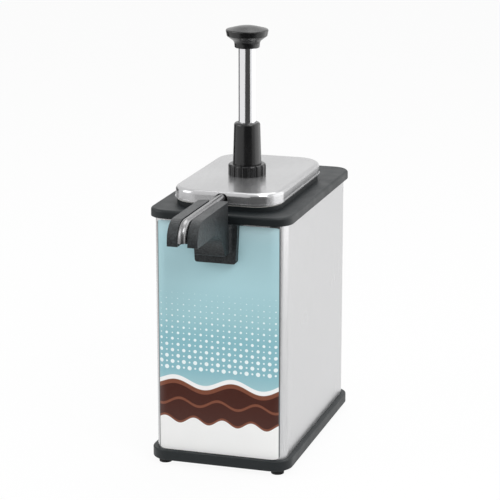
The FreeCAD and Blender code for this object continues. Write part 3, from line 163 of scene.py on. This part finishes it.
def brushed_steel(name, along, base, rough, grain=0.35 * MM, depth=0.004 * MM, metal=0.9, upright_blur=0.0):
    """Satin steel whose fine lines run along one axis, and which can blur its mirror images upright."""
    made, g = new_material(name)
    line_stretch, line_contrast, patch_size, patch_share = 0.02, 7, 60 * MM, 0.6
    stretch = tuple(line_stretch if axis == along else 1.0 for axis in "xyz")
    lines = g.noise(grain, 3.0, stretch)
    patches = g.noise(patch_size)
    dark, light = base - line_contrast, base + line_contrast
    low = srgb(dark, dark, dark + 1)
    high = srgb(light, light, light + 1)
    wear = g.calc("MULTIPLY_ADD", patches, patch_share, g.calc("MULTIPLY", lines, 1 - patch_share))
    g.set(Base_Color=g.blend(g.spread(lines, 0.0, 1.0), low, high), Metallic=metal,
          Roughness=g.spread(wear, *rough), Normal=g.bump(lines, depth))
    if upright_blur:
        g.set(Anisotropic=upright_blur, Anisotropic_Rotation=0.25,
              Tangent=g.node("Tangent", direction_type="RADIAL", axis="Z").outputs[0])
    return made


def polished_steel():
    made, g = new_material("polished_steel")
    scratches = g.noise(0.6 * MM, 2.0, (1.0, 1.0, 0.05))
    g.set(Base_Color=srgb(228, 228, 230), Metallic=1.0, Roughness=g.spread(scratches, 0.11, 0.15),
          Normal=g.bump(scratches, 0.0008 * MM))
    return made


def textured_plastic(name, colour, rough, grain, depth, specular=0.5, contrast=0.25):
    """Moulded plastic or rubber with a fine grain, and broad patches of a little more or less gloss."""
    made, g = new_material(name)
    patch_size = 22 * MM
    fine = g.noise(grain, 3.0)
    broad = g.noise(patch_size)
    low = tuple(c * (1 - contrast) for c in colour[:3]) + (1.0,)
    high = tuple(c * (1 + contrast) for c in colour[:3]) + (1.0,)
    g.set(Base_Color=g.blend(g.spread(fine, 0.0, 1.0), low, high), Specular_IOR_Level=specular,
          Roughness=g.spread(broad, *rough), Normal=g.bump(fine, depth))
    return made


def printed_film():
    """The front's film: pale blue with staggered white dots, cocoa waves and a white foot, with a painted
    shade line along its back edges.
    """
    made, g = new_material("printed_film")
    low_corner, high_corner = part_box("front_graphic")
    parts = g.node("SeparateXYZ", {"Vector": g.coordinates()}).outputs
    x, y, z = parts[0], parts[1], parts[2]
    height = high_corner.z - low_corner.z
    rise = g.calc("DIVIDE", g.calc("SUBTRACT", z, low_corner.z), height)
    ground = g.ramp(rise, [(0.26, srgb(170, 206, 211)), (0.37, srgb(138, 186, 197)),
                           (0.5, srgb(139, 188, 198)), (0.6, srgb(158, 200, 207)),
                           (0.74, srgb(169, 207, 214)), (0.92, srgb(170, 206, 213)),
                           (1.0, srgb(178, 208, 214))])
    dots_bottom = low_corner.z + FILM_DOTS_BOTTOM
    fade = g.calc("MULTIPLY_ADD", g.calc("SUBTRACT", z, dots_bottom), -1 / FILM_DOTS_HEIGHT, 1.0)
    large = g.calc("MULTIPLY", fade, 2.5 * MM)
    small = g.calc("MULTIPLY", fade, 1.2 * MM)
    dots = g.calc("MAXIMUM", dot_rows(g, x, z, FILM_DOT_PITCH, large, 0.0),
                  dot_rows(g, x, z, FILM_DOT_PITCH, small, FILM_DOT_PITCH / 2))
    inside = g.calc("MULTIPLY", above(g, z, dots_bottom), above(g, fade, 0.12, 0.02))
    colour = g.blend(g.calc("MULTIPLY", dots, inside), ground, srgb(236, 246, 247))
    white, cocoa, dark = srgb(243, 243, 242), srgb(126, 74, 54), srgb(72, 35, 26)
    # Each wave paints all that lies under it: level, swing and length in mm, phase in radians, and colour
    waves = [(82, 5.0, 66, 0.0, white), (77, 5.0, 66, 0.0, cocoa), (72, 5.0, 66, 0.0, dark),
             (58, 4.0, 44, 1.6, cocoa), (55, 4.0, 44, 1.6, dark), (38, 3.6, 33, 0.6, cocoa),
             (35.5, 3.6, 33, 0.6, white)]
    for level, swing, length, phase, paint in waves:
        angle = g.calc("MULTIPLY_ADD", x, 2 * math.pi / (length * MM), phase)
        edge = g.calc("MULTIPLY_ADD", g.calc("SINE", angle), swing * MM, low_corner.z + level * MM)
        colour = g.blend(above(g, g.calc("SUBTRACT", edge, z), 0.0), colour, paint)
    # Painted shade: a dark grey line along the film's back edges stands in for the shadow in the gap
    # between film and steel.
    painted_edge_shade = above(g, y, high_corner.y - FILM_EDGE_SHADE_WIDTH)
    colour = g.blend(painted_edge_shade, colour, srgb(96, 100, 102))
    grain = g.noise(0.5 * MM)
    g.set(Base_Color=colour, Roughness=g.spread(grain, 0.26, 0.36), Specular_IOR_Level=0.35,
          Normal=g.bump(grain, 0.003 * MM))
    return made


def above(g, value, limit, width=0.25 * MM):
    """1 where the value is over the limit, with a soft edge of the given width."""
    return g.calc("MULTIPLY_ADD", g.calc("SUBTRACT", value, limit), 1 / width, 0.5, clamp=True)


def dot_rows(g, x, z, pitch, radius, shift):
    """1 inside round dots, which stand in staggered rows half a pitch apart."""
    row = g.calc("FLOOR", g.calc("DIVIDE", z, pitch / 2))
    stagger = g.calc("MULTIPLY", g.calc("PINGPONG", row, 1.0), pitch / 2)
    across = g.calc("WRAP", g.calc("ADD", g.calc("ADD", x, stagger), shift), pitch / 2, -pitch / 2)
    up = g.calc("WRAP", z, pitch / 2, 0.0)
    up = g.calc("SUBTRACT", up, pitch / 4)
    reach = g.calc("SQRT", g.calc("ADD", g.calc("POWER", across, 2.0), g.calc("POWER", up, 2.0)))
    return above(g, g.calc("SUBTRACT", radius, reach), 0.0)


def dress(material, *names):
    for name in names:
        for index in range(len(nodes[name].material_slots)):
            nodes[name].material_slots[index].material = material


def dress_all():
    upright_steel = brushed_steel("satin_steel_upright", "z", base=200, rough=(0.24, 0.28),
                                  depth=0.0003 * MM, metal=0.95, upright_blur=0.8)
    level_steel = brushed_steel("satin_steel_level", "y", base=188, rough=(0.2, 0.26),
                                depth=0.002 * MM, metal=0.85, upright_blur=0.7)
    # A darker copy of the satin steel for the discharge tube: partly a duller finish, partly painted shade
    # from the dark spout arms beside it.
    tube_steel_painted_shade = brushed_steel("satin_steel_tube_painted_shade", "y", base=138, rough=(0.24, 0.3), depth=0.002 * MM)
    dress(upright_steel, "body_shroud", "rear_panel", "vessel")
    dress(level_steel, "lid", "sensor_bracket")
    dress(tube_steel_painted_shade, "discharge_tube")
    polished = polished_steel()
    dress(polished, "plunger_tube", "pump_cylinder", "intake_tube", "discharge_nut", "valve_cage",
          "inlet_ball", "outlet_ball")
    make_spring(polished)
    dress(textured_plastic("black_plastic", srgb(26, 31, 33), (0.42, 0.52), 0.45 * MM, 0.05 * MM, 0.3),
          "base_tray", "top_cover", "switch_housing", "cord_gland", "gland_nut")
    dress(textured_plastic("grained_plastic", srgb(34, 38, 40), (0.36, 0.44), 2.0 * MM, 0.7 * MM,
                           contrast=0.7), "spout_housing")
    dress(textured_plastic("gloss_black", srgb(20, 20, 21), (0.2, 0.28), 1.5 * MM, 0.004 * MM),
          "knob", "guide_sleeve", "lock_nut", "switch_rocker")
    dress(textured_plastic("black_rubber", srgb(26, 26, 26), (0.7, 0.8), 0.8 * MM, 0.03 * MM, 0.3),
          "rubber_feet")
    dress(textured_plastic("white_plastic", srgb(228, 227, 222), (0.4, 0.5), 0.6 * MM, 0.01 * MM),
          "valve_body", "piston", "terminal_block")
    dress(textured_plastic("silicone", srgb(214, 213, 208), (0.55, 0.65), 0.8 * MM, 0.01 * MM),
          "vessel_gasket", "lid_gasket", "valve_seal", "piston_seal")
    dress(textured_plastic("silicone_heater", srgb(150, 62, 44), (0.5, 0.6), 1.2 * MM, 0.03 * MM),
          "band_heater")
    dress(brushed_steel("pressed_shell", "z", grain=0.8 * MM, base=198, rough=(0.3, 0.4)),
          "thermostat", "thermal_cutout")
    dress(brushed_steel("cast_aluminium", "x", grain=1.0 * MM, base=190, rough=(0.4, 0.55),
                        depth=0.02 * MM), "spout_heater")
    dress(brushed_steel("zinc_screws", "x", grain=0.5 * MM, base=196, rough=(0.25, 0.35)),
          "foot_screws", "rear_panel_screws", "cover_screws", "sensor_studs", "sensor_nuts", "spout_screws",
          "terminal_screws")
    dress(printed_film(), "front_graphic")


# The spring

def coiled_wire(centre, low, high, coil, wire, turns, steps=40, sides=12):
    """The points and faces of a round wire that is wound about an upright axis."""
    verts, faces = [], []
    for step in range(steps * turns + 1):
        angle = 2 * math.pi * step / steps
        level = low + (high - low) * step / (steps * turns)
        for side in range(sides):
            turn = 2 * math.pi * side / sides
            reach = coil + wire * math.cos(turn)
            verts.append((centre.x + reach * math.cos(angle), centre.y + reach * math.sin(angle),
                          level + wire * math.sin(turn)))
    for step in range(steps * turns):
        for side in range(sides):
            here, beside = step * sides + side, step * sides + (side + 1) % sides
            faces.append((here, beside, beside + sides, here + sides))
    faces.append(tuple(reversed(range(sides))))
    faces.append(tuple(range(len(verts) - sides, len(verts))))
    return verts, faces


def make_spring(material):
    """The return spring, a coil of round wire that rides with the lid pump in place of the part's own
    spring.
    """
    low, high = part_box("return_spring")
    centre = (low + high) / 2
    wire, travel = SPRING_WIRE, PLUNGER_TRAVEL
    verts, faces = coiled_wire(centre, low.z + wire, high.z - wire, high.x - centre.x - wire, wire,
                               SPRING_TURNS)
    mesh = bpy.data.meshes.new("return_coil")
    mesh.from_pydata(verts, [], faces)
    mesh.shade_smooth()
    mesh.materials.append(material)
    coil = bpy.data.objects.new("return_coil", mesh)
    bpy.context.scene.collection.objects.link(coil)
    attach(coil, "lid_pump")
    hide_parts("return_spring")
    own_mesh(coil)


# Studio

def place_camera():
    """The photo's camera, level from left to right."""
    camera = bpy.data.objects.new("camera", bpy.data.cameras.new("camera"))
    bpy.context.scene.collection.objects.link(camera)
    bpy.context.scene.camera = camera
    yaw, pitch = math.radians(CAMERA_YAW), math.radians(CAMERA_PITCH)
    right = Vector((math.cos(yaw), math.sin(yaw), 0))
    back = Vector((math.sin(yaw) * math.cos(pitch), -math.cos(yaw) * math.cos(pitch), math.sin(pitch)))
    turn = Matrix((right, back.cross(right), back)).transposed().to_4x4()
    camera.matrix_world = Matrix.Translation(Vector(CAMERA_PLACE)) @ turn
    camera.data.sensor_width = CAMERA_SENSOR
    camera.data.lens = CAMERA_LENS
    camera.data.clip_end = 50.0


def panel(name, centre, towards, width, height):
    """A flat rectangle that faces a point."""
    mesh = bpy.data.meshes.new(name)
    x, y = width / 2, height / 2
    mesh.from_pydata([(-x, -y, 0), (x, -y, 0), (x, y, 0), (-x, y, 0)], [], [(0, 1, 2, 3)])
    made = bpy.data.objects.new(name, mesh)
    bpy.context.scene.collection.objects.link(made)
    aim = (Vector(towards) - Vector(centre)).to_track_quat("Z", "Y")
    made.matrix_world = Matrix.Translation(Vector(centre)) @ aim.to_matrix().to_4x4()
    return made


def lamp(name, centre, towards, width, height, power):
    """A rectangular lamp that faces a point."""
    data = bpy.data.lights.new(name, "AREA")
    data.shape = "RECTANGLE"
    data.size, data.size_y = width, height
    data.energy = power
    made = bpy.data.objects.new(name, data)
    bpy.context.scene.collection.objects.link(made)
    aim = (Vector(towards) - Vector(centre)).to_track_quat("-Z", "Y")
    made.matrix_world = Matrix.Translation(Vector(centre)) @ aim.to_matrix().to_4x4()


def seen_white(g, camera_share, glossy_share):
    """How far a ray should meet plain white: a share for each kind, and 0 for light on the object."""
    path = g.node("LightPath").outputs
    mirror = g.calc("MAXIMUM", path["Is Glossy Ray"], path["Is Transmission Ray"])
    return g.calc("MAXIMUM", g.calc("MULTIPLY", path["Is Camera Ray"], camera_share),
                  g.calc("MULTIPLY", mirror, glossy_share))


def make_floor():
    """A pale floor, mostly plain white to the camera, that still keeps the object's shadow."""
    floor = panel("floor", (0, 0, 0), (0, 0, 1), FLOOR_SIZE, FLOOR_SIZE)
    made, g = new_material("studio_floor")
    g.set(Base_Color=srgb(240, 240, 240), Roughness=0.9)
    white = g.node("Emission", {"Color": WHITE, "Strength": 1.0})
    mix = g.node("MixShader", {"Fac": seen_white(g, camera_share=0.93, glossy_share=0.95)})
    g.feed(mix.inputs[1], g.shader.outputs[0])
    g.feed(mix.inputs[2], white.outputs[0])
    g.feed(g.tree.nodes["Material Output"].inputs["Surface"], mix.outputs[0])
    floor.data.materials.append(made)


def make_world():
    world = bpy.data.worlds.new("studio")
    bpy.context.scene.world = world
    world.use_nodes = True
    g = Graph(world.node_tree)
    seen = seen_white(g, camera_share=1.0, glossy_share=1.0)
    background = world.node_tree.nodes["Background"].inputs
    g.feed(background["Color"], WHITE)
    g.feed(background["Strength"], g.calc("MULTIPLY_ADD", seen, 1 - WORLD_STRENGTH, WORLD_STRENGTH))


def standing_card(name, azimuth, distance, width, height, strength):
    """A card that stands on the floor at an azimuth from the front towards the right."""
    angle = math.radians(azimuth)
    middle = height / 2 + CARD_GAP
    centre = (distance * math.sin(angle), -distance * math.cos(angle), middle)
    mirror_only(panel(name, centre, (0, 0, middle), width, height), strength)


def lying_card(name, low, high, strength):
    """A card that lies just over the floor between two corners."""
    x, y = (low[0] + high[0]) / 2, (low[1] + high[1]) / 2
    mirror_only(panel(name, (x, y, 0.0015), (x, y, 1.0), high[0] - low[0], high[1] - low[1]), strength)


def mirror_only(card, strength):
    """Lets only mirrored light see a card, as a glow of the given strength."""
    name = card.name
    made, g = new_material(name)
    glow = g.node("Emission", {"Color": WHITE, "Strength": strength})
    g.feed(g.tree.nodes["Material Output"].inputs["Surface"], glow.outputs[0])
    card.data.materials.append(made)
    card.visible_camera = False
    card.visible_diffuse = False
    card.visible_shadow = False
    card.visible_transmission = False


def light_studio():
    make_world()
    make_floor()
    lying_card("front_mat", low=(-0.37, -2.6), high=(1.3, -0.24), strength=0.02)
    standing_card("front_card", azimuth=25.6, distance=1.2, width=1.55, height=1.2, strength=0.07)
    standing_card("right_card", azimuth=120, distance=1.1, width=1.4, height=1.2, strength=2.0)
    standing_card("left_card", azimuth=240, distance=1.25, width=0.75, height=0.5, strength=0.04)
    middle = (0, 0, 0.2)
    lamp("key", (1.4, -1.2, 1.9), middle, width=1.2, height=1.2, power=26)
    lamp("fill", (-1.8, -1.0, 1.2), middle, width=1.4, height=1.4, power=14)
    lamp("top", (0.2, 0.8, 2.2), middle, width=1.6, height=1.6, power=18)
    bpy.context.scene.view_settings.view_transform = "Standard"


dress_all()
place_camera()
light_studio()
